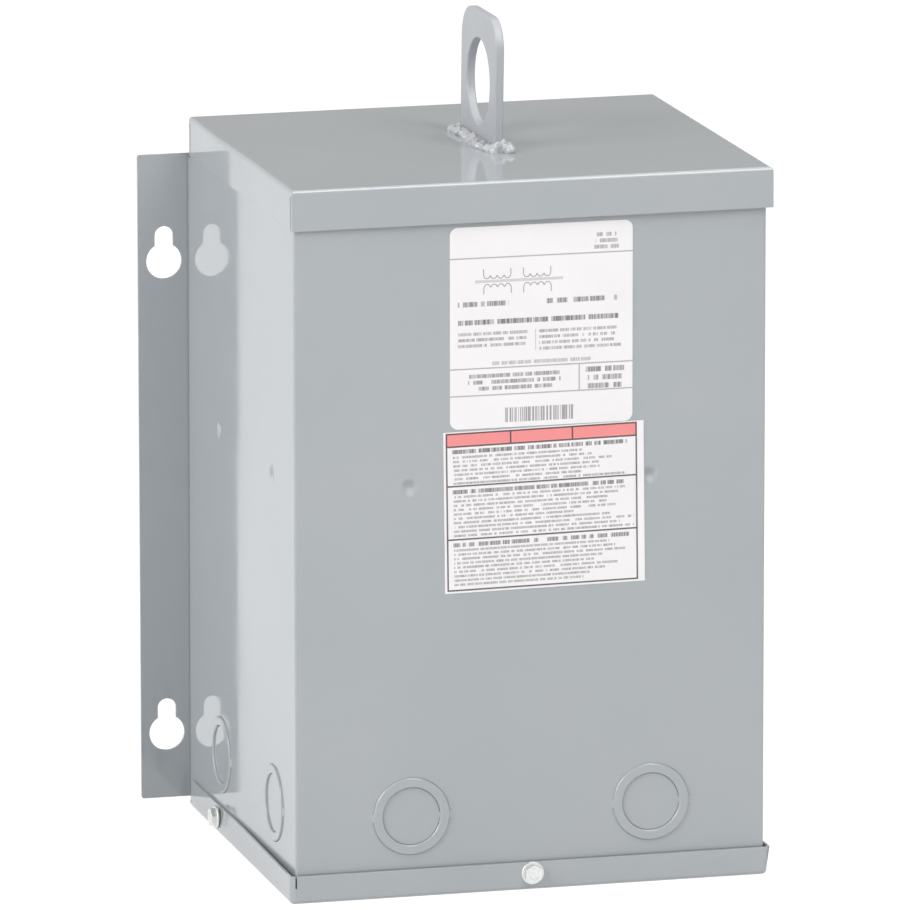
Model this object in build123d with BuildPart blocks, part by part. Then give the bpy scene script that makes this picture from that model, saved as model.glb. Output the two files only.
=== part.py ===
from build123d import *
from math import radians, sin
import os

os.makedirs("parts", exist_ok=True)

# Millimetres. X runs along the front from left to right, the front faces -Y, Z is up.
# The origin is under the middle of the whole object, on the plane it stands on.

# driving sizes of the enclosure
box_height = 350.0
body_width = 234.0
body_depth = 215.2
sheet = 1.6
body_fold = 2.0
lid_overhang_x = 2.5
lid_overhang_y = 2.4
lid_rear_gap = 2.0
lid_skirt = 20.5
lid_bend = 3.0
inner_bend = 0.7
lid_slit = 0.9
lid_slit_top = 3.1
fit_gap = 0.8
flange_height = 14.2
flange_slit = 6.2
flange_slit_width = 0.9
pan_corner = 2.6
pan_bend = 2.4
head_height = 3.4

# sizes and planes that follow from them; the front screw's head counts in the whole depth
lid_width = body_width + 2 * lid_overhang_x
enclosure_depth = lid_overhang_y + body_depth + sheet
front_y = (head_height - enclosure_depth) / 2
back_y = front_y + enclosure_depth
ear_y = back_y - sheet
body_front_y = front_y + lid_overhang_y
lid_back_y = ear_y - lid_rear_gap
lid_depth = lid_back_y - front_y
lid_under_z = box_height - sheet
skirt_z = box_height - lid_skirt
body_side_x = body_width / 2
core_step_y = lid_back_y - sheet - fit_gap
core_step_z = skirt_z - fit_gap

# mounting ears with keyholes
ear_width = 26.9
ear_low_z = 3.6
ear_high_z = skirt_z + 1.0
key_out = 13.7
key_low_rise = 33.2
key_high_drop = 53.7
key_x = body_side_x + key_out
key_low_z = ear_low_z + key_low_rise
key_high_z = ear_high_z - key_high_drop
key_r = 9.0
key_slot_r = 4.7
key_slot_rise = 12.8
ear_corner = 1.0

# concentric knockouts
knock_outer_r = 19.15
knock_inner_r = 14.1
knock_slot = 0.25
knock_tab = 3.0
ring_proud = 0.7
disc_recess = 0.1
knock_z = 39.8
knock_front_x = 60.0
knock_side_front = 44.3
knock_side_rear = 65.2
knock_side_y = (body_front_y + knock_side_front, ear_y - knock_side_rear)

# small round dents of the spot welds, over the knockouts
dent_r = 5.0
dent_depth = 0.35
dent_drop = 146.3
dent_z = box_height - dent_drop

# sheet metal screws in the pan flange
screw_z = 8.4
screw_side_rear = 65.9
screw_side_y = ear_y - screw_side_rear
washer_r = 5.5
washer_thick = 1.0
hex_flats = 8.0
shank_r = 2.2
shank_clear = 0.15
head_cup_r = 2.6
head_cup_depth = 0.5

# lifting eye on the lid
eye_thick = 4.6
eye_width = 63.5
eye_height = 64.2
eye_corner = 16.0
eye_hole_r = 21.1
eye_hole_rise = 29.8
eye_shift_x = 3.4
eye_y = front_y + lid_depth / 2
weld_leg = 5.6
weld_round = 2.0
weld_bulge = 0.62 * weld_leg

# stickers
label_thick = 0.25
upper_label_w = 90.8
upper_label_h = 98.6
upper_label_x = 4.85
label_drop = 22.3
upper_label_z = box_height - label_drop - upper_label_h / 2
upper_label_corner = 4.0
lower_label_w = 99.8
lower_label_h = 80.0
lower_label_x = 6.4
lower_label_turn = 0.65
label_gap = 0.1


def front_plane(y):
    """A plane facing the viewer at depth y, with its x along X and its y up."""
    return Plane(origin=(0, y, 0), x_dir=(1, 0, 0), z_dir=(0, -1, 0))


def side_plane(x, side):
    """A plane facing out of the left (-1) or right (+1) side, with its y up."""
    return Plane(origin=(x, 0, 0), x_dir=(0, side, 0), z_dir=(side, 0, 0))


def keep(piece, name):
    piece.part.label = name
    export_step(piece.part, "parts/" + name + ".step")


# body: one sheet folded round the front and both sides
with BuildPart() as body_shell:
    with BuildSketch(Plane.XY.offset(sheet)):
        with BuildLine():
            Polyline(
                (-body_side_x, ear_y),
                (-body_side_x, body_front_y),
                (body_side_x, body_front_y),
                (body_side_x, ear_y),
                (body_side_x - sheet, ear_y),
                (body_side_x - sheet, body_front_y + sheet),
                (-body_side_x + sheet, body_front_y + sheet),
                (-body_side_x + sheet, ear_y),
                (-body_side_x, ear_y),
            )
        make_face()
    extrude(amount=lid_under_z - sheet)
    front_folds = body_shell.edges().filter_by(Axis.Z).filter_by_position(
        Axis.Y, body_front_y - 0.01, body_front_y + 0.01
    )
    fillet(front_folds, body_fold)
    inner_folds = body_shell.edges().filter_by(Axis.Z).filter_by_position(
        Axis.Y, body_front_y + sheet - 0.01, body_front_y + sheet + 0.01
    )
    fillet(inner_folds, body_fold - sheet)
    # the upper rear corners are cut back so the lid drops over them
    with BuildSketch(Plane.XY.offset(core_step_z)):
        with Locations((0, (core_step_y + back_y) / 2)):
            Rectangle(lid_width, back_y - core_step_y)
    extrude(amount=lid_skirt + fit_gap, mode=Mode.SUBTRACT)
    # knockout openings
    with BuildSketch(front_plane(body_front_y)):
        with Locations((-knock_front_x, knock_z), (knock_front_x, knock_z)):
            Circle(knock_outer_r)
    extrude(amount=-sheet, mode=Mode.SUBTRACT)
    for side in (-1, 1):
        with BuildSketch(side_plane(side * body_side_x, side)):
            with Locations(*[(side * y, knock_z) for y in knock_side_y]):
                Circle(knock_outer_r)
        extrude(amount=-sheet, mode=Mode.SUBTRACT)
    # screw holes
    with BuildSketch(front_plane(body_front_y)):
        with Locations((0, screw_z)):
            Circle(shank_r + shank_clear)
    extrude(amount=-sheet, mode=Mode.SUBTRACT)
    for side in (-1, 1):
        with BuildSketch(side_plane(side * body_side_x, side)):
            with Locations((side * screw_side_y, screw_z)):
                Circle(shank_r + shank_clear)
        extrude(amount=-sheet, mode=Mode.SUBTRACT)
    # spot weld dents
    dent_ball_r = (dent_r**2 + dent_depth**2) / (2 * dent_depth)
    for x in (-knock_front_x, knock_front_x):
        with Locations((x, body_front_y - dent_ball_r + dent_depth, dent_z)):
            Sphere(dent_ball_r, mode=Mode.SUBTRACT)
    for side in (-1, 1):
        for y in knock_side_y:
            with Locations((side * (body_side_x + dent_ball_r - dent_depth), y, dent_z)):
                Sphere(dent_ball_r, mode=Mode.SUBTRACT)
keep(body_shell, "body_shell")

# back plate with the four keyholes in its ears
with BuildPart() as back_plate:
    with BuildSketch(front_plane(ear_y)):
        with Locations((0, (ear_low_z + ear_high_z) / 2)):
            RectangleRounded(body_width + 2 * ear_width, ear_high_z - ear_low_z, ear_corner)
        for x in (-key_x, key_x):
            for z in (key_low_z, key_high_z):
                with Locations((x, z)):
                    Circle(key_r, mode=Mode.SUBTRACT)
                with Locations((x, z + key_slot_rise)):
                    Circle(key_slot_r, mode=Mode.SUBTRACT)
                with Locations((x, z + key_slot_rise / 2)):
                    Rectangle(2 * key_slot_r, key_slot_rise, mode=Mode.SUBTRACT)
    extrude(amount=-sheet)
keep(back_plate, "back_plate")

# lid: a tray turned upside down; the side skirts stop short of the front and rear skirts
with BuildPart() as lid:
    with BuildSketch(Plane.XY.offset(skirt_z)):
        with Locations((0, (front_y + lid_back_y) / 2)):
            Rectangle(lid_width, lid_depth)
    extrude(amount=lid_skirt)
    fillet(lid.faces().sort_by(Axis.Z)[-1].edges(), lid_bend)
    with BuildSketch(Plane.XY.offset(skirt_z)):
        with Locations((0, (front_y + lid_back_y) / 2)):
            Rectangle(lid_width - 2 * sheet, lid_depth - 2 * sheet)
    extrude(amount=lid_skirt - sheet, mode=Mode.SUBTRACT)
    under_edges = lid.edges().filter_by_position(Axis.Z, lid_under_z - 0.01, lid_under_z + 0.01)
    fillet(under_edges, inner_bend)
    with BuildSketch(Plane.XY.offset(skirt_z)):
        for x in (-lid_width / 2, lid_width / 2):
            for y in (front_y + sheet + lid_slit / 2, lid_back_y - sheet - lid_slit / 2):
                with Locations((x, y)):
                    Rectangle(4 * sheet, lid_slit)
    extrude(amount=lid_skirt - lid_slit_top, mode=Mode.SUBTRACT)
keep(lid, "lid")

# bottom pan: floor and three upright flanges outside the body
with BuildPart() as bottom_pan:
    with BuildSketch(Plane.XY):
        with Locations((0, (front_y + ear_y) / 2)):
            Rectangle(lid_width, ear_y - front_y)
    extrude(amount=flange_height)
    pan_front = bottom_pan.edges().filter_by(Axis.Z).filter_by_position(
        Axis.Y, front_y - 0.01, front_y + 0.01
    )
    fillet(pan_front, pan_corner)
    pan_floor = bottom_pan.faces().sort_by(Axis.Z)[0]
    floor_rear = pan_floor.edges().sort_by(Axis.Y)[-1]
    fillet([edge for edge in pan_floor.edges() if edge != floor_rear], pan_bend)
    with BuildSketch(Plane.XY.offset(sheet)):
        with Locations((0, (front_y + sheet + ear_y) / 2)):
            Rectangle(lid_width - 2 * sheet, ear_y - front_y - sheet)
    extrude(amount=flange_height, mode=Mode.SUBTRACT)
    inner_low = bottom_pan.edges().filter_by_position(Axis.Z, sheet - 0.01, sheet + 0.01)
    inner_rear = inner_low.sort_by(Axis.Y)[-1]
    fillet([edge for edge in inner_low if edge != inner_rear], inner_bend)
    with BuildSketch(Plane.XY.offset(flange_height)):
        for x in (-1, 1):
            with Locations(Location((x * lid_width / 2, front_y, 0), (0, 0, x * -45))):
                Rectangle(4 * pan_corner, flange_slit_width)
    extrude(amount=-flange_slit, mode=Mode.SUBTRACT)
    with BuildSketch(front_plane(front_y)):
        with Locations((0, screw_z)):
            Circle(shank_r + shank_clear)
    extrude(amount=-sheet, mode=Mode.SUBTRACT)
    for side in (-1, 1):
        with BuildSketch(side_plane(side * lid_width / 2, side)):
            with Locations((side * screw_side_y, screw_z)):
                Circle(shank_r + shank_clear)
        extrude(amount=-sheet, mode=Mode.SUBTRACT)
keep(bottom_pan, "bottom_pan")

# the encapsulated core fills the box behind the sheet
with BuildPart() as core_block:
    with BuildSketch(Plane.XY.offset(sheet)):
        with Locations((0, (body_front_y + sheet + ear_y) / 2)):
            Rectangle(body_width - 2 * sheet, ear_y - body_front_y - sheet)
    extrude(amount=lid_under_z - sheet)
    block_front = core_block.edges().filter_by(Axis.Z).filter_by_position(
        Axis.Y, body_front_y + sheet - 0.01, body_front_y + sheet + 0.01
    )
    fillet(block_front, body_fold - sheet)
    with BuildSketch(Plane.XY.offset(core_step_z)):
        with Locations((0, (core_step_y + back_y) / 2)):
            Rectangle(lid_width, back_y - core_step_y)
    extrude(amount=lid_skirt + fit_gap, mode=Mode.SUBTRACT)
keep(core_block, "core_block")

# lifting eye, a flat plate across the depth of the lid
with BuildPart() as lifting_eye:
    with BuildSketch(side_plane(eye_shift_x - eye_thick / 2, -1)):
        with BuildLine():
            Polyline(
                (-eye_y - eye_width / 2, box_height),
                (-eye_y + eye_width / 2, box_height),
                (-eye_y + eye_width / 2, box_height + eye_height),
                (-eye_y - eye_width / 2, box_height + eye_height),
                (-eye_y - eye_width / 2, box_height),
            )
        make_face()
        with Locations((-eye_y, box_height + eye_hole_rise)):
            Circle(eye_hole_r, mode=Mode.SUBTRACT)
    extrude(amount=-eye_thick)
    eye_tops = lifting_eye.edges().filter_by(Axis.X).filter_by_position(
        Axis.Z, box_height + eye_height - 0.01, box_height + eye_height + 0.01
    )
    fillet(eye_tops, eye_corner)
keep(lifting_eye, "lifting_eye")


# weld beads round the foot of the eye
eye_left_x = eye_shift_x - eye_thick / 2
eye_front_y = eye_y - eye_width / 2


def weld_bead(section_plane, u, out, length, name):
    """A fillet weld on the lid with its corner at local x = u, its foot running out to out."""
    foot_u = u + out * weld_leg
    bulge_u = u + out * weld_bulge
    top_z = box_height + weld_leg
    with BuildPart() as bead:
        with BuildSketch(section_plane):
            with BuildLine():
                Line((u, box_height), (foot_u, box_height))
                ThreePointArc((foot_u, box_height), (bulge_u, box_height + weld_bulge), (u, top_z))
                Line((u, top_z), (u, box_height))
            make_face()
        extrude(amount=-length)
    keep(bead, name)


along_depth = front_plane(eye_front_y)
across_left_x = eye_left_x - weld_leg + weld_round
across_width = eye_thick + 2 * weld_leg - 2 * weld_round
across = side_plane(across_left_x, -1)
weld_bead(along_depth, eye_left_x, -1, eye_width, "eye_weld_left")
weld_bead(along_depth, eye_left_x + eye_thick, 1, eye_width, "eye_weld_right")
weld_bead(across, -eye_front_y, 1, across_width, "eye_weld_front")
weld_bead(across, -eye_front_y - eye_width, -1, across_width, "eye_weld_rear")


def knockout(face_plane, u, name):
    """Ring and inner disc of one knockout, each held by small tabs, the ring half pushed out."""
    ring_hole_r = knock_inner_r + knock_slot / 2
    with BuildPart() as ring:
        with BuildSketch(face_plane.offset(ring_proud)):
            with Locations((u, knock_z)):
                Rectangle(2 * knock_outer_r, knock_tab)
                Circle(knock_outer_r, mode=Mode.INTERSECT)
                Circle(knock_outer_r - knock_slot)
                Circle(ring_hole_r, mode=Mode.SUBTRACT)
        extrude(amount=-sheet)
    keep(ring, name + "_ring")
    with BuildPart() as disc:
        with BuildSketch(face_plane.offset(-disc_recess)):
            with Locations((u + knock_inner_r / 2, knock_z)):
                Rectangle(knock_inner_r + knock_slot, knock_tab)
            with Locations((u, knock_z)):
                Circle(ring_hole_r, mode=Mode.INTERSECT)
                Circle(knock_inner_r - knock_slot / 2)
        extrude(amount=-(sheet - disc_recess))
    keep(disc, name + "_disc")


body_front = front_plane(body_front_y)
knockout(body_front, -knock_front_x, "knockout_front_left")
knockout(body_front, knock_front_x, "knockout_front_right")
for side, side_name in ((-1, "left"), (1, "right")):
    body_side = side_plane(side * body_side_x, side)
    for y, place in zip(knock_side_y, ("front", "rear")):
        knockout(body_side, side * y, "knockout_" + side_name + "_" + place)


def pan_screw(face_plane, u, reach, name):
    """Hex washer head screw standing on face_plane, its shank reaching in through the sheets."""
    with BuildPart() as screw:
        with BuildSketch(face_plane):
            with Locations((u, screw_z)):
                Circle(washer_r)
        extrude(amount=washer_thick)
        with BuildSketch(face_plane.offset(washer_thick)):
            with Locations((u, screw_z)):
                RegularPolygon(hex_flats / 2, 6, major_radius=False, rotation=30)
        extrude(amount=head_height - washer_thick)
        with BuildSketch(face_plane.offset(head_height)):
            with Locations((u, screw_z)):
                Circle(head_cup_r)
        extrude(amount=-head_cup_depth, mode=Mode.SUBTRACT)
        with BuildSketch(face_plane):
            with Locations((u, screw_z)):
                Circle(shank_r)
        extrude(amount=-reach)
    keep(screw, name)


pan_screw(front_plane(front_y), 0, lid_overhang_y + sheet, "front_screw")
side_reach = lid_overhang_x + sheet
pan_screw(side_plane(-lid_width / 2, -1), -screw_side_y, side_reach, "left_screw")
pan_screw(side_plane(lid_width / 2, 1), screw_side_y, side_reach, "right_screw")

# stickers on the front, the lower one stuck on at a slight angle close under the upper one
lower_rise = lower_label_w / 2 * sin(radians(lower_label_turn))
lower_label_z = upper_label_z - upper_label_h / 2 - label_gap - lower_rise - lower_label_h / 2
with BuildPart() as upper_label:
    with BuildSketch(front_plane(body_front_y)):
        with Locations((upper_label_x, upper_label_z)):
            RectangleRounded(upper_label_w, upper_label_h, upper_label_corner)
    extrude(amount=label_thick)
keep(upper_label, "upper_label")

with BuildPart() as lower_label:
    with BuildSketch(front_plane(body_front_y)):
        with Locations(Location((lower_label_x, lower_label_z, 0), (0, 0, lower_label_turn))):
            Rectangle(lower_label_w, lower_label_h)
    extrude(amount=label_thick)
keep(lower_label, "lower_label")
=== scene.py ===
"""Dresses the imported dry-type transformer: a grey enamelled steel box, its lid, pan and lifting eye."""

import logging
import math
import random
from dataclasses import dataclass
from enum import Enum
from typing import Callable, Sequence

import bpy
from mathutils import Matrix, Vector


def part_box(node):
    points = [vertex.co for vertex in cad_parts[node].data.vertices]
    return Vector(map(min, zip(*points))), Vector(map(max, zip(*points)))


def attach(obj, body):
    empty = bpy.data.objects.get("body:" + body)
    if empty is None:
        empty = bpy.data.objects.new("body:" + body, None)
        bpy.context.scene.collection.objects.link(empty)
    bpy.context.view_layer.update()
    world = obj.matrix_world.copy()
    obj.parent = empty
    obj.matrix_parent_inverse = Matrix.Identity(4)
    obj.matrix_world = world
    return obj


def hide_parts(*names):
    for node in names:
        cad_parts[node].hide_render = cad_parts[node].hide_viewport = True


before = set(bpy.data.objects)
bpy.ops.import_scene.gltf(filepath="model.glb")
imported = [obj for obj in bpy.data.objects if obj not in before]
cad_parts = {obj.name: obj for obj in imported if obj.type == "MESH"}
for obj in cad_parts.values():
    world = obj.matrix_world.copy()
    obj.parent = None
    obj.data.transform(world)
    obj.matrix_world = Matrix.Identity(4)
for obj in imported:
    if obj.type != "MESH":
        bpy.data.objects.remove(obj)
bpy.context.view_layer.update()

MM = 0.001
TOUCH = 0.01 * MM  # how near two points lie that count as one place
MOSTLY = 0.9  # the least cosine of a direction that runs about along an axis
FLAT = 0.99  # the same for one that lies along it
BOX_CORNERS = 8
FLARE_STEPS = 12
FLARE_SLACK = 1.9 * MM
HEX = 6  # sides of a hex head
ROUND = 96  # sides of a round bar, with the next three for wide, narrow and hidden ones
WIDE_ROUND = 128
NARROW_ROUND = 64
HIDDEN_ROUND = 32
ORIGIN = Vector((0, 0, 0))
LOG = logging.getLogger("transformer")
SIDE_KNOCKOUTS = ("left_front", "left_rear", "right_front", "right_rear")
KNOCKOUTS = ("front_left", "front_right", *SIDE_KNOCKOUTS)
Material = bpy.types.Material
Node = bpy.types.Node
Socket = bpy.types.NodeSocket
Colour = tuple[float, float, float, float]
Pair = tuple[float, float]
Test = Callable[[Vector, Vector], bool]


def box_middle(node: str) -> Vector:
    """The middle of a CAD node's box."""
    low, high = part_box(node)
    return (low + high) / 2


def ease(share: float) -> float:
    """Turns a steady share from 0 to 1 into one that starts and stops gently."""
    return share * share * (3 - 2 * share)


class Kind(Enum):
    """What an edit-mode tool works on."""

    VERT = 0
    EDGE = 1
    FACE = 2


class Axis(Enum):
    """The direction a rod points in, with the turn that takes it there from Z."""

    X = (0.0, math.pi / 2, 0.0)
    Y = (math.pi / 2, 0.0, 0.0)


class Slot(Enum):
    """The record's material slots."""

    ENAMEL = "grey_enamel"
    ZINC = "zinc"
    PAPER = "white_paper"
    POTTING = "potting"


class Workpiece:
    """One mesh on the bench, shaped in edit mode as by hand."""

    def __init__(self, obj: bpy.types.Object) -> None:
        """Takes up a mesh object that lies at the origin, unturned and unscaled."""
        self.obj = obj

    @staticmethod
    def clear() -> None:
        """Leaves edit mode and deselects every object."""
        if bpy.context.object and bpy.context.object.mode != "OBJECT":
            bpy.ops.object.mode_set(mode="OBJECT")
        bpy.ops.object.select_all(action="DESELECT")

    @classmethod
    def settle(cls, scale: Sequence[float] = (1, 1, 1)) -> "Workpiece":
        """Scales the newest primitive and puts its place into its mesh."""
        bpy.context.object.scale = scale
        bpy.ops.object.transform_apply(location=True, rotation=True, scale=True)
        return cls(bpy.context.object)

    @classmethod
    def block(cls, low: Vector, high: Vector) -> "Workpiece":
        """A box between two corners."""
        cls.clear()
        bpy.ops.mesh.primitive_cube_add(size=1, location=(low + high) / 2)
        return cls.settle(high - low)

    @classmethod
    def front_sheet(cls, low: Vector, high: Vector) -> "Workpiece":
        """An upright sheet facing the viewer, on the front of the box between two corners."""
        cls.clear()
        middle = (low + high) / 2
        place = (middle.x, low.y, middle.z)
        bpy.ops.mesh.primitive_plane_add(size=1, location=place, rotation=Axis.Y.value)
        return cls.settle((high.x - low.x, high.z - low.z, 1))

    @classmethod
    def rod(cls, centre: Vector, radius: float, length: float, axis: Axis, sides: int) -> "Workpiece":
        """A round bar about its centre, pointing along an axis."""
        cls.clear()
        bpy.ops.mesh.primitive_cylinder_add(
            vertices=sides, radius=radius, depth=length, location=centre, rotation=axis.value
        )
        return cls.settle()

    @classmethod
    def ball(cls, centre: Vector, radii: Sequence[float]) -> "Workpiece":
        """An egg shape about its centre."""
        cls.clear()
        bpy.ops.mesh.primitive_ico_sphere_add(subdivisions=3, radius=1, location=centre)
        return cls.settle(radii)

    def focus(self) -> None:
        """Makes this the one selected and active object."""
        self.clear()
        self.obj.select_set(True)
        bpy.context.view_layer.objects.active = self.obj

    def pick(self, kind: Kind, test: Test) -> None:
        """Enters edit mode with only some elements selected.

        Args:
            kind: vertices, edges or faces.
            test: says of a centre and a direction whether it is picked. The direction is
                a face's or vertex's normal, or runs along an edge.
        """
        self.focus()
        mesh = self.obj.data
        for group in (mesh.polygons, mesh.edges, mesh.vertices):
            group.foreach_set("select", [False] * len(group))
        if kind is Kind.FACE:
            for face in mesh.polygons:
                face.select = test(face.center, face.normal)
        elif kind is Kind.EDGE:
            for edge in mesh.edges:
                start, end = (mesh.vertices[i].co for i in edge.vertices)
                edge.select = test((start + end) / 2, (end - start).normalized())
        else:
            for vertex in mesh.vertices:
                vertex.select = test(vertex.co, vertex.normal)
        bpy.context.tool_settings.mesh_select_mode = [kind is k for k in Kind]
        bpy.ops.object.mode_set(mode="EDIT")

    def pick_all(self) -> None:
        """Enters edit mode with everything selected."""
        self.pick(Kind.FACE, lambda centre, normal: True)

    def stretch(self, move: Sequence[float]) -> None:
        """Extrudes the picked edges by a move."""
        bpy.ops.mesh.extrude_edges_move(TRANSFORM_OT_translate={"value": move})

    def bevel(self, width: float, segments: int) -> None:
        """Rounds the picked edges."""
        bpy.ops.mesh.bevel(offset=width, segments=segments, affect="EDGES")

    def saw(self, point: Sequence[float], normal: Sequence[float]) -> None:
        """Cuts the picked faces along a plane, and keeps both halves."""
        bpy.ops.mesh.bisect(plane_co=point, plane_no=normal)

    def flare(self, x: float, start: float, end: float, low_move: float, high_move: float) -> None:
        """Swings the rear of one upright side smoothly outwards or inwards.

        Args:
            x: where the flat side lies.
            start: where along Y the swing begins.
            end: where it ends.
            low_move: how far the lower points move along X beyond the end.
            high_move: the same for the upper points.
        """
        middle_z = sum(corner[2] for corner in self.obj.bound_box) / BOX_CORNERS
        rows = [start + (end - start) * number / FLARE_STEPS for number in range(FLARE_STEPS + 1)]
        for y in rows:
            self.pick(Kind.FACE, lambda c, n: abs(c.x - x) < FLARE_SLACK)
            self.saw((0, y, 0), (0, 1, 0))
        for number, y in enumerate(rows):
            last = number == FLARE_STEPS
            share = ease(number / FLARE_STEPS)
            for upper, move in ((False, low_move), (True, high_move)):
                self.pick(
                    Kind.VERT,
                    lambda c, n: abs(c.x - x) < FLARE_SLACK
                    and (c.z > middle_z) == upper
                    and (c.y > y - TOUCH if last else abs(c.y - y) < TOUCH),
                )
                self.slide((move * share, 0, 0))

    def drop(self) -> None:
        """Deletes the picked faces."""
        bpy.ops.mesh.delete(type="FACE")

    def slide(self, move: Sequence[float], reach: float = 0.0) -> None:
        """Moves what is picked, and softly what lies within reach of it."""
        if reach:
            bpy.ops.transform.translate(
                value=move,
                use_proportional_edit=True,
                proportional_edit_falloff="SMOOTH",
                proportional_size=reach,
            )
        else:
            bpy.ops.transform.translate(value=move)

    def modify(self, kind: str, **settings: object) -> None:
        """Adds a modifier and applies it.

        Args:
            kind: Blender's name of the modifier.
            **settings: its settings.
        """
        self.focus()
        modifier = self.obj.modifiers.new(kind.lower(), kind)
        for name, value in settings.items():
            setattr(modifier, name, value)
        bpy.ops.object.modifier_apply(modifier=modifier.name)

    def thicken(self, thickness: float) -> None:
        """Gives a sheet its thickness, inwards from the modelled face."""
        self.modify("SOLIDIFY", thickness=thickness, offset=-1, use_even_offset=True)

    def soften(self, width: float, segments: int) -> None:
        """Rounds every edge that folds by more than 40 degrees."""
        self.modify(
            "BEVEL",
            width=width,
            segments=segments,
            limit_method="ANGLE",
            angle_limit=math.radians(40),
        )

    def carve(self, tool: "Workpiece") -> None:
        """Cuts a tool's shape out, and throws the tool away."""
        self.modify("BOOLEAN", operation="DIFFERENCE", solver="EXACT", object=tool.obj)
        tool.discard()

    def fuse(self, other: "Workpiece") -> "Workpiece":
        """Unites another workpiece with this one."""
        self.modify("BOOLEAN", operation="UNION", solver="EXACT", object=other.obj)
        other.discard()
        return self

    def gather(self, others: Sequence["Workpiece"]) -> "Workpiece":
        """Joins other workpieces to this one as they are."""
        self.focus()
        for other in others:
            other.obj.select_set(True)
        bpy.ops.object.join()
        return self

    def turn(self, angle: float, axis: str, centre: Sequence[float]) -> None:
        """Turns the whole mesh by an angle in radians about an axis through a point."""
        self.focus()
        spin = Matrix.Rotation(angle, 4, axis)
        place = Matrix.Translation(centre)
        self.obj.data.transform(place @ spin @ place.inverted())

    def shift(self, move: Sequence[float]) -> None:
        """Moves the whole mesh."""
        self.pick_all()
        self.slide(move)
        self.clear()

    def copy(self) -> "Workpiece":
        """A second workpiece with a mesh of its own."""
        self.focus()
        bpy.ops.object.duplicate(linked=False)
        return Workpiece(bpy.context.object)

    def discard(self) -> None:
        """Removes the workpiece."""
        self.clear()
        bpy.data.objects.remove(self.obj)

    def face_outwards(self) -> None:
        """Merges doubles and turns every face outwards."""
        self.pick_all()
        bpy.ops.mesh.remove_doubles(threshold=TOUCH / 5)
        bpy.ops.mesh.normals_make_consistent(inside=False)
        self.clear()

    def hand_over(
        self, name: str, paint: Material, slot: Slot, nodes: Sequence[str], smooth: float = 40
    ) -> None:
        """Shades, dresses and names the finished piece, and sets it on the frame.

        Args:
            name: the piece's name.
            paint: its finish.
            slot: the record's slot for that finish; not used.
            nodes: the CAD nodes it stands for.
            smooth: the angle in degrees under which neighbouring faces are shaded as one.
        """
        self.face_outwards()
        self.focus()
        bpy.ops.object.shade_smooth_by_angle(angle=math.radians(smooth))
        self.modify("WEIGHTED_NORMAL", keep_sharp=True, weight=50)
        self.obj.name = name
        self.obj.data.name = name
        self.obj.data.materials.clear()
        self.obj.data.materials.append(paint)
        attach(self.obj, "root")
        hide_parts(*nodes)
        LOG.info("%s stands for %s", name, ", ".join(nodes))


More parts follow.
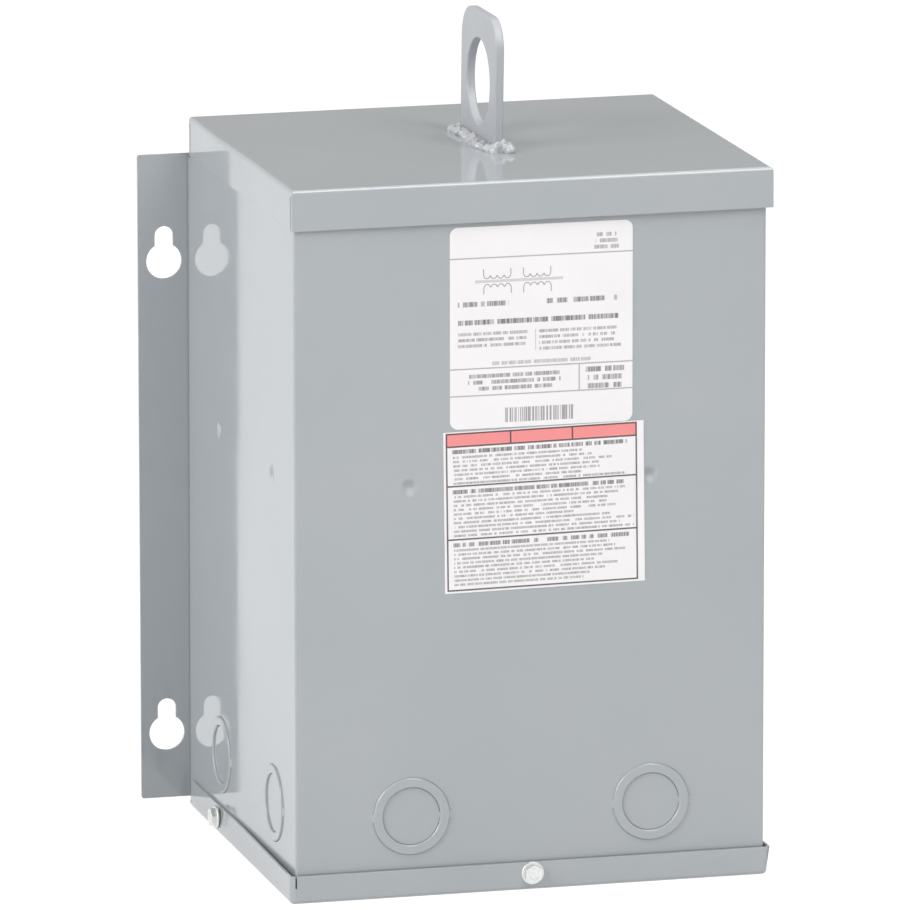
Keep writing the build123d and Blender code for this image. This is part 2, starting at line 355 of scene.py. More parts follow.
class Graph:
    """Adds shader nodes to a material or a world and joins them up."""

    def __init__(self, tree: bpy.types.NodeTree) -> None:
        """Starts on an empty node tree."""
        self.tree = tree
        tree.nodes.clear()

    def add(self, kind: str, settings: dict | None = None, **inputs: object) -> Node:
        """Adds one node.

        Args:
            kind: Blender's name of the node.
            settings: its own settings.
            **inputs: its sockets, by name with _ for a space, each a number, a colour or
                another node's socket.

        Returns:
            The node.
        """
        node = self.tree.nodes.new(kind)
        for name, value in (settings or {}).items():
            setattr(node, name, value)
        for name, value in inputs.items():
            self.feed(node.inputs[name.replace("_", " ")], value)
        return node

    def feed(self, socket: Socket, value: object) -> None:
        """Links a socket or sets its value."""
        if isinstance(value, Socket):
            self.tree.links.new(value, socket)
        else:
            socket.default_value = value

    def math(self, operation: str, *values: object) -> Socket:
        """The result of a Math node."""
        node = self.tree.nodes.new("ShaderNodeMath")
        node.operation = operation
        for socket, value in zip(node.inputs, values):
            self.feed(socket, value)
        return node.outputs[0]

    def place(self) -> Socket:
        """The piece's own coordinates, which are the part's."""
        return self.add("ShaderNodeTexCoord").outputs["Object"]

    def split(self, vector: Socket) -> bpy.types.NodeOutputs:
        """The parts of a vector, by the names X, Y and Z."""
        return self.add("ShaderNodeSeparateXYZ", Vector=vector).outputs

    def noise(self, scale: float, detail: float = 2, roughness: float = 0.5) -> Socket:
        """Noise over the piece's own coordinates, with scale in features per metre."""
        node = self.add(
            "ShaderNodeTexNoise", Vector=self.place(), Scale=scale, Detail=detail, Roughness=roughness
        )
        return node.outputs["Fac"]

    def spread(self, value: object, start: Pair, end: Pair = (0.0, 1.0)) -> Socket:
        """Maps a value from one range to another and clamps it."""
        node = self.add(
            "ShaderNodeMapRange",
            Value=value,
            From_Min=start[0],
            From_Max=start[1],
            To_Min=end[0],
            To_Max=end[1],
        )
        return node.outputs["Result"]

    def mottle(self, scale: float, detail: float, end: Pair = (0.0, 1.0)) -> Socket:
        """Noise whose usual range is spread over another one."""
        return self.spread(self.noise(scale, detail), (0.3, 0.7), end)

    def square_sum(self, first: object, second: object) -> Socket:
        """The sum of two squares."""
        squares = (self.math("MULTIPLY", value, value) for value in (first, second))
        return self.math("ADD", *squares)

    def blend(self, factor: object, first: object, second: object) -> Socket:
        """A colour between two."""
        node = self.tree.nodes.new("ShaderNodeMix")
        node.data_type = "RGBA"
        # The colour sockets of this node are numbers 6 and 7, and its colour output is number 2.
        for number, value in ((0, factor), (6, first), (7, second)):
            self.feed(node.inputs[number], value)
        return node.outputs[2]

    def patch(self, u: object, v: object, low: Pair, high: Pair) -> Socket:
        """Is 1 inside a rectangle and 0 outside."""
        sides = (
            self.math("COMPARE", value, (a + b) / 2, (b - a) / 2)
            for value, a, b in zip((u, v), low, high)
        )
        return self.math("MULTIPLY", *sides)

    def heaviest(self, marks: Sequence[object]) -> Socket:
        """The greatest of several values."""
        most, *rest = marks
        for mark in rest:
            most = self.math("MAXIMUM", most, mark)
        return most

    def bump(self, height: object, distance: float) -> Socket:
        """A normal roughened by a height."""
        node = self.add("ShaderNodeBump", Height=height, Distance=distance, Strength=1.0)
        return node.outputs["Normal"]

    def mix_seen(self, unseen: Node, seen: Node) -> Socket:
        """A shader for light, and another for what is seen directly, in gloss or through glass."""
        path = self.add("ShaderNodeLightPath").outputs
        direct = self.math("MAXIMUM", path["Is Camera Ray"], path["Is Glossy Ray"])
        factor = self.math("MAXIMUM", direct, path["Is Transmission Ray"])
        mix = self.add("ShaderNodeMixShader", Fac=factor)
        self.tree.links.new(unseen.outputs[0], mix.inputs[1])
        self.tree.links.new(seen.outputs[0], mix.inputs[2])
        return mix.outputs[0]


def new_material(name: str) -> tuple[Material, Graph]:
    """An empty node material and its graph."""
    material = bpy.data.materials.new(name)
    material.use_nodes = True
    return material, Graph(material.node_tree)


def surface(graph: Graph, **inputs: object) -> None:
    """Ends a material with one Principled shader."""
    shader = graph.add("ShaderNodeBsdfPrincipled", **inputs)
    graph.add("ShaderNodeOutputMaterial", Surface=shader.outputs["BSDF"])


@dataclass(frozen=True)
class DentShade:
    """One side of a small dent as the light picks it out, in shares of the dent's radius."""

    rise: float
    radius: float
    strength: float
    tone: Colour


@dataclass(frozen=True)
class DentSpot:
    """Where the painted shade and highlight of a small dent lie: its place along X or Y, its height and
    its radius.
    """

    axis: str
    along: float
    up: float
    radius: float
    rag_scale: float = 700.0
    rag: Pair = (-0.25, 0.25)
    fade: Pair = (0.1, 1.0)

    def mark(self, graph: Graph, shade: DentShade) -> Socket:
        """How strongly the painted shade or highlight on one side of the dent shows.

        Args:
            graph: the material's graph.
            shade: the side.

        Returns:
            The socket that is greatest in the middle of that side.
        """
        split = graph.split(graph.place())
        radius = self.radius * shade.radius
        across = graph.math("DIVIDE", graph.math("SUBTRACT", split[self.axis], self.along), radius)
        level = self.up + self.radius * shade.rise
        rise = graph.math("DIVIDE", graph.math("SUBTRACT", split["Z"], level), radius)
        rag = graph.mottle(self.rag_scale, 3, self.rag)
        off = graph.math("ADD", graph.square_sum(across, rise), rag)
        return graph.math("MULTIPLY", graph.spread(off, self.fade, (1, 0)), shade.strength)


@dataclass(frozen=True)
class Enamel:
    """Glossy grey enamel baked on steel, with a faint orange peel, and where asked a painted crease
    shadow and painted dent shade and highlight.
    """

    name: str = "grey_enamel_gloss"
    grey: Colour = (0.395, 0.425, 0.445, 1.0)
    pale: Colour = (0.415, 0.440, 0.460, 1.0)
    cloud_scale: float = 9.0
    cloud_range: Pair = (0.35, 0.65)
    fleck: Colour = (0.30, 0.33, 0.35, 1.0)
    fleck_scale: float = 55.0
    fleck_range: Pair = (0.72, 0.78)
    fleck_strength: float = 0.25
    peel_scale: float = 420.0
    peel_depth: float = 0.012 * MM
    index: float = 1.66
    gloss_scale: float = 30.0
    smoothest: float = 0.05
    roughest: float = 0.09
    crease_shade: float = 0.0
    crease_shade_reach: float = 1.0 * MM
    crease_shade_strength: float = 0.5
    # The colours of the painted shadow and the painted highlight, for the crease and the dents.
    shadow: Colour = (0.27, 0.29, 0.31, 1.0)
    shine: Colour = (0.8, 0.8, 0.8, 1.0)
    shaded_dents: tuple[DentSpot, ...] = ()

    def make(self) -> Material:
        """Builds the material."""
        material, graph = new_material(self.name)
        cloud = graph.spread(graph.noise(self.cloud_scale, 3), self.cloud_range)
        tone = graph.blend(cloud, self.grey, self.pale)
        fleck = graph.noise(self.fleck_scale, 6, 0.7)
        fleck = graph.spread(fleck, self.fleck_range, (0, self.fleck_strength))
        tone = graph.blend(fleck, tone, self.fleck)
        # Painted shadow: a darker line at a set distance along X from the middle, where the plate meets
        # the body's side edges.
        if self.crease_shade:
            across = graph.math("ABSOLUTE", graph.split(graph.place())["X"])
            off = graph.math("ABSOLUTE", graph.math("SUBTRACT", across, self.crease_shade))
            line = graph.spread(off, (0, self.crease_shade_reach), (self.crease_shade_strength, 0))
            tone = graph.blend(line, tone, self.shadow)
        # Painted shade above and painted highlight below each dent, set where the body's dents are.
        sides = (
            DentShade(rise=0.35, radius=0.75, strength=0.42, tone=self.shadow),
            DentShade(rise=-0.5, radius=0.6, strength=0.22, tone=self.shine),
        )
        for dent in self.shaded_dents:
            for side in sides:
                tone = graph.blend(dent.mark(graph, side), tone, side.tone)
        gloss = graph.mottle(self.gloss_scale, 3, (self.smoothest, self.roughest))
        peel = graph.bump(graph.noise(self.peel_scale, 1), self.peel_depth)
        surface(graph, Base_Color=tone, Roughness=gloss, IOR=self.index, Normal=peel)
        return material


@dataclass(frozen=True)
class Zinc:
    """Bright zinc plating on the screws, faintly blotched."""

    name: str = "bright_zinc_plating"
    bright: Colour = (0.80, 0.81, 0.80, 1.0)
    dull: Colour = (0.72, 0.73, 0.72, 1.0)
    blotch_scale: float = 600.0
    grain_scale: float = 900.0
    gloss: Pair = (0.38, 0.5)
    pit_scale: float = 700.0
    pit_depth: float = 0.01 * MM

    def make(self) -> Material:
        """Builds the material."""
        material, graph = new_material(self.name)
        tone = graph.blend(graph.mottle(self.blotch_scale, 4), self.bright, self.dull)
        rough = graph.mottle(self.grain_scale, 2, self.gloss)
        pits = graph.bump(graph.noise(self.pit_scale), self.pit_depth)
        surface(graph, Base_Color=tone, Metallic=1.0, Roughness=rough, Normal=pits)
        return material


@dataclass(frozen=True)
class DashRows:
    """Rows of plain grey dashes, in mm from the sticker's top left."""

    left: float
    right: float
    top: float
    pitch: float
    count: int
    height: float
    ink: float = 0.45
    ragged: float = 0.15
    centred: bool = False
    row_step: float = 7.3
    dash_scale: float = 0.9
    dash_gap: float = 0.38
    grain_scale: float = 4.0
    grain_range: Pair = (0.35, 0.65)
    palest: float = 0.45

    def mark(self, graph: Graph, u: object, v: object) -> Socket:
        """The ink of these rows.

        Args:
            graph: the material's graph.
            u: mm from the sticker's left edge.
            v: mm down from its top edge.

        Returns:
            The ink's strength.
        """
        line = graph.math("DIVIDE", graph.math("SUBTRACT", v, self.top), self.pitch)
        number = graph.math("FLOOR", line)
        on_line = graph.math("LESS_THAN", graph.math("FRACT", line), self.height / self.pitch)
        among = graph.math("COMPARE", number, (self.count - 1) / 2, self.count / 2)
        chance = graph.add(
            "ShaderNodeTexWhiteNoise", {"noise_dimensions": "1D"}, W=graph.math("ADD", number, self.top)
        )
        spare = graph.math("MULTIPLY", chance.outputs["Value"], self.ragged * (self.right - self.left))
        if self.centred:
            middle = (self.left + self.right) / 2
            off = graph.math("ABSOLUTE", graph.math("SUBTRACT", u, middle))
            within = graph.math("LESS_THAN", off, graph.math("SUBTRACT", self.right - middle, spare))
        else:
            ends = graph.math("LESS_THAN", u, graph.math("SUBTRACT", self.right, spare))
            within = graph.math("MULTIPLY", ends, graph.math("GREATER_THAN", u, self.left))
        row = graph.math("MULTIPLY", number, self.row_step)
        place = graph.add("ShaderNodeCombineXYZ", X=u, Y=row, Z=self.top).outputs[0]
        runs, grain = (
            graph.add("ShaderNodeTexNoise", Vector=place, Scale=scale / self.height, Detail=0)
            for scale in (self.dash_scale, self.grain_scale)
        )
        dash = graph.math("GREATER_THAN", runs.outputs["Fac"], self.dash_gap)
        ink = graph.spread(grain.outputs["Fac"], self.grain_range, (self.palest * self.ink, self.ink))
        for part in (on_line, among, within, dash):
            ink = graph.math("MULTIPLY", ink, part)
        return ink


@dataclass(frozen=True)
class Rule:
    """A ruled line or a solid bar between two corners, in mm from the sticker's top left."""

    low: Pair
    high: Pair
    ink: float = 0.55

    def mark(self, graph: Graph, u: object, v: object) -> Socket:
        """The ink of this line."""
        return graph.math("MULTIPLY", graph.patch(u, v, self.low, self.high), self.ink)


@dataclass(frozen=True)
class Windings:
    """The common drawing of a row of coil turns, with a lead at either end, in mm."""

    left: float
    right: float
    level: float
    downward: bool
    turn: float = 3.4
    line: float = 0.4
    lead: float = 3.2
    ink: float = 0.75

    def mark(self, graph: Graph, u: object, v: object) -> Socket:
        """The ink of this row of turns."""
        along = graph.math("DIVIDE", graph.math("SUBTRACT", u, self.left), self.turn)
        off = graph.math("SUBTRACT", graph.math("FRACT", along), 0.5)
        across = graph.math("MULTIPLY", off, self.turn)
        down = graph.math("SUBTRACT", v, self.level)
        reach = graph.math("SQRT", graph.square_sum(across, down))
        arc = graph.math("COMPARE", reach, self.turn / 2 - self.line / 2, self.line / 2)
        side = 1 if self.downward else -1
        span = sorted((self.level, self.level + side * self.turn))
        inside = graph.patch(u, v, (self.left, span[0]), (self.right, span[1]))
        turns = graph.math("MULTIPLY", arc, inside)
        near, far = sorted((self.level, self.level - side * self.lead))
        half = self.line / 2
        leads = [graph.patch(u, v, (x - half, near), (x + half, far)) for x in (self.left, self.right)]
        return graph.math("MULTIPLY", graph.heaviest([turns, *leads]), self.ink)


@dataclass(frozen=True)
class BarStrip:
    """A plain strip of upright bars of uneven width, in mm."""

    low: Pair
    high: Pair
    ink: float = 0.62
    bar_scale: float = 1.15
    bar_gap: float = 0.49

    def mark(self, graph: Graph, u: object, v: object) -> Socket:
        """The ink of the bars."""
        place = graph.add("ShaderNodeCombineXYZ", X=u)
        noise = graph.add(
            "ShaderNodeTexNoise", Vector=place.outputs[0], Scale=self.bar_scale, Detail=1
        )
        bars = graph.math("GREATER_THAN", noise.outputs["Fac"], self.bar_gap)
        strip = graph.math("MULTIPLY", bars, graph.patch(u, v, self.low, self.high))
        return graph.math("MULTIPLY", strip, self.ink)


@dataclass(frozen=True)
class PrintedPaper:
    """Satin white sticker stock with plain ruled and dashed print."""

    name: str
    corner: Pair
    marks: Sequence[object]
    turn: float = 0.0
    band: Rule | None = None
    paper: Colour = (0.945, 0.922, 0.93, 1.0)
    ink: Colour = (0.06, 0.055, 0.055, 1.0)
    band_colour: Colour = (0.92, 0.305, 0.305, 1.0)
    shaded: float = 0.97
    shade_scale: float = 40.0
    index: float = 1.45
    gloss: Pair = (0.34, 0.46)
    gloss_scale: float = 60.0
    fibre_scale: float = 900.0
    fibre_depth: float = 0.01 * MM

    def make(self) -> Material:
        """Builds the material, its print laid out from the sticker's top left corner."""
        material, graph = new_material(self.name)
        back = Matrix.Rotation(self.turn, 3, "Y")
        shift = back @ Vector((self.corner[0], 0, self.corner[1])) / MM
        local = graph.add(
            "ShaderNodeMapping",
            Vector=graph.place(),
            Location=(-shift.x, -shift.y, -shift.z),
            Rotation=(0, self.turn, 0),
            Scale=(1 / MM, 1 / MM, 1 / MM),
        )
        split = graph.split(local.outputs[0])
        u, v = split["X"], graph.math("MULTIPLY", split["Z"], -1)
        shade = [self.shaded * part for part in self.paper[:3]] + [1]
        tone = graph.blend(graph.mottle(self.shade_scale, 3), self.paper, shade)
        if self.band:
            tone = graph.blend(self.band.mark(graph, u, v), tone, self.band_colour)
        ink = graph.heaviest([mark.mark(graph, u, v) for mark in self.marks])
        tone = graph.blend(ink, tone, self.ink)
        fibre = graph.bump(graph.noise(self.fibre_scale), self.fibre_depth)
        rough = graph.mottle(self.gloss_scale, 2, self.gloss)
        surface(graph, Base_Color=tone, Roughness=rough, IOR=self.index, Normal=fibre)
        return material


@dataclass(frozen=True)
class Potting:
    """Dark sanded resin round the core, hidden behind the sheet."""

    name: str = "dark_potting"
    dark: Colour = (0.03, 0.03, 0.03, 1.0)
    sand: Colour = (0.07, 0.065, 0.06, 1.0)
    grit_scale: float = 700.0
    grit_depth: float = 0.2 * MM
    roughness: float = 0.7

    def make(self) -> Material:
        """Builds the material."""
        material, graph = new_material(self.name)
        grit = graph.noise(self.grit_scale, 4)
        tone = graph.blend(grit, self.dark, self.sand)
        bumps = graph.bump(grit, self.grit_depth)
        surface(graph, Base_Color=tone, Roughness=self.roughness, Normal=bumps)
        return material


@dataclass(frozen=True)
class Camera:
    """The photograph's long-lens view from the front left, a little above."""

    place: tuple[float, float, float] = (-1.33215, -5.04492, 1.27870)
    azimuth: float = -14.6809
    elevation: float = 11.7481
    roll: float = -0.0641
    lens: float = 429.73
    sensor: float = 36.0
    farthest: float = 200.0

    def make(self) -> None:
        """Sets the scene's camera."""
        data = bpy.data.cameras.new("camera")
        data.lens = self.lens
        data.sensor_width = self.sensor
        data.clip_end = self.farthest
        eye = bpy.data.objects.new("camera", data)
        bpy.context.scene.collection.objects.link(eye)
        eye.location = self.place
        turns = ((self.azimuth, "Z"), (90 - self.elevation, "X"), (self.roll, "Z"))
        azimuth, tilt, roll = (Matrix.Rotation(math.radians(angle), 3, axis) for angle, axis in turns)
        eye.rotation_euler = (azimuth @ tilt @ roll).to_euler()
        bpy.context.scene.camera = eye


@dataclass(frozen=True)
class SoftLight:
    """An oblong soft light aimed at the middle of the part."""

    name: str
    place: tuple[float, float, float]
    width: float
    height: float
    power: float
    aim: tuple[float, float, float] = (0.0, 0.0, 0.2)

    def make(self) -> None:
        """Hangs the light."""
        data = bpy.data.lights.new(self.name, "AREA")
        data.shape = "RECTANGLE"
        data.size = self.width
        data.size_y = self.height
        data.energy = self.power
        lamp = bpy.data.objects.new(self.name, data)
        bpy.context.scene.collection.objects.link(lamp)
        lamp.location = self.place
        towards = Vector(self.aim) - lamp.location
        lamp.rotation_euler = towards.to_track_quat("-Z", "Y").to_euler()


@dataclass
class Studio:
    """A wide white table in a white room, dim overhead and behind on the right, and soft lights.

    The ranges are parts of a direction, from where the room is white to where it is dim.
    """

    floor_size: float = 80.0
    table: float = 0.8
    bounce: float = 0.07
    seen_table: float = 0.24
    seen_glow: float = 0.90
    fill: float = 0.24
    dim: Colour = (0.32, 0.31, 0.29, 1.0)
    horizon: Pair = (0.07, 0.15)
    overhead: Pair = (0.36, 0.5)
    rightward: Pair = (-0.3, 0.05)
    rearward: Pair = (-0.1, 0.3)
    lights: tuple[SoftLight, ...] = (
        SoftLight("key", (0.9, -1.75, 2.85), width=1.0, height=3.0, power=55.0),
        SoftLight("left", (-2.7, -1.1, 1.6), width=1.8, height=1.8, power=62.0),
        SoftLight("top", (0.4, 0.6, 2.6), width=2.2, height=2.2, power=26.0),
    )

    def make_world(self) -> None:
        """Lights the room evenly and shows it white, but dim overhead and behind on the right."""
        world = bpy.data.worlds.new("studio")
        world.use_nodes = True
        bpy.context.scene.world = world
        graph = Graph(world.node_tree)
        split = graph.split(graph.add("ShaderNodeTexCoord").outputs["Generated"])
        above = graph.spread(split["Z"], self.horizon)
        high = graph.spread(split["Z"], self.overhead)
        right = graph.spread(split["X"], self.rightward)
        behind = graph.math("MULTIPLY", right, graph.spread(split["Y"], self.rearward))
        shade = graph.math("MULTIPLY", above, graph.math("MAXIMUM", behind, high))
        backdrop = graph.blend(shade, (1, 1, 1, 1), self.dim)
        seen = graph.add("ShaderNodeBackground", Color=backdrop, Strength=1.0)
        light = graph.add("ShaderNodeBackground", Color=(1, 1, 1, 1), Strength=self.fill)
        graph.add("ShaderNodeOutputWorld", Surface=graph.mix_seen(light, seen))

    def lit(self, graph: Graph, grey: float, glow: float) -> Node:
        """A plain surface that also glows a little.

        Args:
            graph: the material's graph.
            grey: how much light it throws back.
            glow: how much light it gives of its own.

        Returns:
            The node whose first output is the shader.
        """
        plain = graph.add("ShaderNodeBsdfDiffuse", Color=(grey, grey, grey, 1))
        own = graph.add("ShaderNodeEmission", Color=(1, 1, 1, 1), Strength=glow)
        both = graph.add("ShaderNodeAddShader")
        graph.tree.links.new(plain.outputs[0], both.inputs[0])
        graph.tree.links.new(own.outputs[0], both.inputs[1])
        return both

    def make_floor(self) -> None:
        """Lays the white table, which keeps a soft shadow."""
        Workpiece.clear()
        bpy.ops.mesh.primitive_plane_add(size=self.floor_size, location=(0, 0, 0))
        floor = bpy.context.object
        floor.name = "floor"
        material, graph = new_material("white_table")
        thrown = self.lit(graph, self.table, self.bounce)
        seen = self.lit(graph, self.seen_table, self.seen_glow)
        graph.add("ShaderNodeOutputMaterial", Surface=graph.mix_seen(thrown, seen))
        floor.data.materials.append(material)

    def make(self) -> None:
        """Sets up the whole studio."""
        bpy.context.scene.view_settings.view_transform = "Standard"
        self.make_world()
        self.make_floor()
        for light in self.lights:
            light.make()


@dataclass(frozen=True)
class Press:
    """One soft push of an electrode into the sheet, in mm from the middle of its mark."""

    side: float
    rise: float
    depth: float
    reach: float


@dataclass
class BodyWrap:
    """The sheet folded round the front and both sides, with its openings and spot-weld dents."""

    paint: Material
    sheet: float = 1.6 * MM
    fold: float = 1.1 * MM
    left_x: float = -117.6 * MM
    right_x: float = 117.1 * MM
    rear_gap: float = 0.4 * MM
    flare_start: float = -25.0 * MM
    flare_end: float = 98.0 * MM
    flare_low: float = -1.3 * MM
    flare_high: float = -0.5 * MM
    opening_r: float = 19.15 * MM
    deep: float = 10.0 * MM
    rim: float = 0.14 * MM
    dent_front_x: Pair = (-60.6 * MM, 59.0 * MM)
    dent_front_z: float = 202.0 * MM
    dent_side_z: float = 203.0 * MM
    dent_side_shift: float = 1.6 * MM
    dent_side_give: float = 0.6
    dent_patch: float = 15.0 * MM
    dent_cuts: int = 29
    dent_grip: float = 0.6
    presses: tuple[Press, ...] = (
        Press(0, 0.2, 0.95, 4.9),
        Press(-1.4, 1.2, 0.25, 2.6),
        Press(1.9, 1.0, 0.25, 2.2),
        Press(0.6, -1.8, -0.15, 1.9),
    )
    lid_gap: float = 0.8 * MM

    def face(self, name: str) -> tuple[Vector, float]:
        """Where a knockout's side of the body lies.

        Args:
            name: the knockout's place, such as left_rear.

        Returns:
            The way that side faces, and how far out its sheet stands that way.
        """
        if name.startswith("front"):
            return Vector((0, -1, 0)), -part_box("body_shell")[0].y
        if name.startswith("left"):
            return Vector((-1, 0, 0)), -self.left_x
        return Vector((1, 0, 0)), self.right_x

    def swing(self, name: str, y: float) -> tuple[float, float]:
        """How the flared left side stands where a knockout is.

        Args:
            name: the knockout's place.
            y: where it is along the side.

        Returns:
            How far the side has moved along X there, and the angle it has turned.
        """
        if name != "left_rear":
            return 0.0, 0.0
        run = self.flare_end - self.flare_start
        share = (y - self.flare_start) / run
        return self.flare_low * ease(share), -self.flare_low * 6 * share * (1 - share) / run

    def dent(self, wrap: Workpiece, at: Vector, outward: Vector) -> None:
        """Presses one electrode mark into the sheet.

        Args:
            wrap: the body sheet, still without thickness.
            at: the mark's middle on the sheet.
            outward: the way that side of the body faces.
        """
        half = self.dent_patch / 2
        across = Vector((0, 0, 1)).cross(outward)

        def on_side(centre: Vector, normal: Vector) -> bool:
            """Whether a face lies on that side."""
            return normal.dot(outward) > FLAT

        for direction in (across, -across, Vector((0, 0, 1)), Vector((0, 0, -1))):
            wrap.pick(Kind.FACE, on_side)
            wrap.saw(at + direction * half, direction)
        wrap.pick(
            Kind.FACE,
            lambda c, n: on_side(c, n)
            and abs((c - at).dot(across)) < half
            and abs(c.z - at.z) < half,
        )
        bpy.ops.mesh.subdivide(number_cuts=self.dent_cuts)
        near = self.dent_grip * self.dent_patch / (self.dent_cuts + 1)
        for press in self.presses:
            spot = at + across * press.side * MM + Vector((0, 0, press.rise * MM))
            wrap.pick(
                Kind.VERT,
                lambda c, n: abs((c - spot).dot(across)) < near
                and abs(c.z - spot.z) < near
                and abs((c - at).dot(outward)) < MM,
            )
            wrap.slide(outward * -press.depth * MM, press.reach * MM)

    def make(self) -> None:
        """Builds and dresses the body."""
        low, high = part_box("body_shell")
        half = (self.right_x - self.left_x) / 2
        low.x, high.x = -half, half
        high.y -= self.rear_gap
        wrap = Workpiece.front_sheet(low, high)
        wrap.pick(Kind.EDGE, lambda c, d: abs(c.x) > high.x - TOUCH)
        wrap.stretch((0, high.y - low.y, 0))
        wrap.pick(Kind.EDGE, lambda c, d: abs(c.x) > high.x - TOUCH and c.y < low.y + TOUCH)
        wrap.bevel(self.fold, segments=8)
        wrap.shift(((self.left_x + self.right_x) / 2, 0, 0))
        wrap.flare(self.left_x, self.flare_start, self.flare_end, self.flare_low, self.flare_high)
        self.clear_lid(wrap)
        for x in self.dent_front_x:
            self.dent(wrap, Vector((x, low.y, self.dent_front_z)), Vector((0, -1, 0)))
        for name in SIDE_KNOCKOUTS:
            outward, reach = self.face(name)
            y = box_middle(f"knockout_{name}_ring").y + self.dent_side_shift
            move = self.swing(name, y)[0] * self.dent_side_give
            self.dent(wrap, Vector((outward.x * reach + move, y, self.dent_side_z)), outward)
        wrap.thicken(self.sheet)
        for name in KNOCKOUTS:
            middle = box_middle(f"knockout_{name}_ring")
            axis = Axis.Y if name.startswith("front") else Axis.X
            wrap.carve(Workpiece.rod(middle, self.opening_r, self.deep, axis, WIDE_ROUND))
        wrap.soften(self.rim, segments=2)
        wrap.hand_over("body_sheet", self.paint, Slot.ENAMEL, ["body_shell"])

    def clear_lid(self, wrap: Workpiece) -> None:
        """Cuts the upper rear corners back so that the lid drops over them."""
        lid_low, lid_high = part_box("lid")
        step_y = lid_high.y - self.sheet - self.lid_gap
        step_z = lid_low.z - self.lid_gap
        wrap.pick_all()
        wrap.saw((0, step_y, 0), (0, 1, 0))
        wrap.pick_all()
        wrap.saw((0, 0, step_z), (0, 0, 1))
        wrap.pick(Kind.FACE, lambda c, n: c.y > step_y and c.z > step_z)
        wrap.drop()


@dataclass
class Knockouts:
    """The six concentric knockouts: each a ring half pushed out and a disc, held by tabs."""

    paint: Material
    body: BodyWrap
    outer_r: float = 19.08 * MM
    hole_r: float = 14.2 * MM
    disc_r: float = 14.12 * MM
    thickness: float = 1.6 * MM
    disc_thickness: float = 1.5 * MM
    proud: float = 0.95 * MM
    recess: float = 0.05 * MM
    roll: float = 0.9 * MM
    sharp: float = 0.3 * MM
    tab: float = 4.0 * MM
    tab_inside: float = 1.26 * MM
    tab_outside: float = 1.3 * MM
    disc_tab: float = 3.0 * MM
    disc_lap: float = 0.7 * MM
    disc_step: float = 0.6
    slack: float = 0.2 * MM

    def ring(self) -> Workpiece:
        """A flat ring facing the viewer at the origin, its rims rolled over, a tab at either side."""
        face = -self.thickness / 2
        ring = Workpiece.rod(ORIGIN, self.outer_r, self.thickness, Axis.Y, WIDE_ROUND)
        ring.carve(Workpiece.rod(ORIGIN, self.hole_r, 4 * self.thickness, Axis.Y, WIDE_ROUND))
        ring.pick(Kind.EDGE, lambda c, d: c.y < face + TOUCH and self.is_rim(c))
        ring.bevel(self.roll, segments=5)
        for side in (-1, 1):
            near = side * (self.outer_r - self.tab_inside)
            far = side * (self.outer_r + self.tab_outside)
            ring.fuse(self.ramp(near, face, far, face + self.proud, self.tab))
        return ring

    def ramp(self, high_x: float, high_y: float, low_x: float, low_y: float, wide: float) -> Workpiece:
        """A tab whose face slopes from one level to another, as bent by the punch.

        Args:
            high_x: where the slope starts.
            high_y: the level there.
            low_x: where it ends.
            low_y: the level there.
            wide: the tab's width.

        Returns:
            The tab.
        """
        ends = sorted((high_x, low_x))
        back = self.thickness / 2
        tab = Workpiece.block(Vector((ends[0], high_y, -wide / 2)), Vector((ends[1], back, wide / 2)))
        tab.pick(Kind.VERT, lambda c, n: abs(c.x - low_x) < TOUCH and c.y < high_y + TOUCH)
        tab.slide((0, low_y - high_y + 2 * TOUCH, 0))
        return tab

    def is_rim(self, centre: Vector) -> bool:
        """Whether a point lies near one of the ring's two circles."""
        radius = math.hypot(centre.x, centre.z)
        return any(abs(radius - circle) < self.slack for circle in (self.outer_r, self.hole_r))

    def disc(self) -> Workpiece:
        """The inner disc facing the viewer at the origin, with its one tab."""
        disc = Workpiece.rod(ORIGIN, self.disc_r, self.disc_thickness, Axis.Y, WIDE_ROUND)
        disc.soften(self.sharp, segments=2)
        level = -self.disc_thickness / 2
        step = (self.proud + self.recess) * self.disc_step
        inner, outer = self.disc_r - self.disc_lap, self.hole_r + self.disc_lap
        return disc.fuse(self.ramp(outer, level - step, inner, level, self.disc_tab))

    def make(self) -> None:
        """Copies the ring and the disc to every opening."""
        patterns = (
            ("ring", self.ring(), self.proud - self.thickness / 2),
            ("disc", self.disc(), -self.recess - self.disc_thickness / 2),
        )
        for part, pattern, level in patterns:
            for name in KNOCKOUTS:
                node = f"knockout_{name}_{part}"
                outward, reach = self.body.face(name)
                piece = pattern.copy()
                middle = box_middle(f"knockout_{name}_ring")
                move, angle = self.body.swing(name, middle.y)
                piece.turn(outward.x * math.pi / 2 + angle, "Z", ORIGIN)
                middle += outward * (reach + level - middle.dot(outward)) + Vector((move, 0, 0))
                piece.shift(middle)
                piece.hand_over(f"{name}_{part}", self.paint, Slot.ENAMEL, [node])
            pattern.discard()


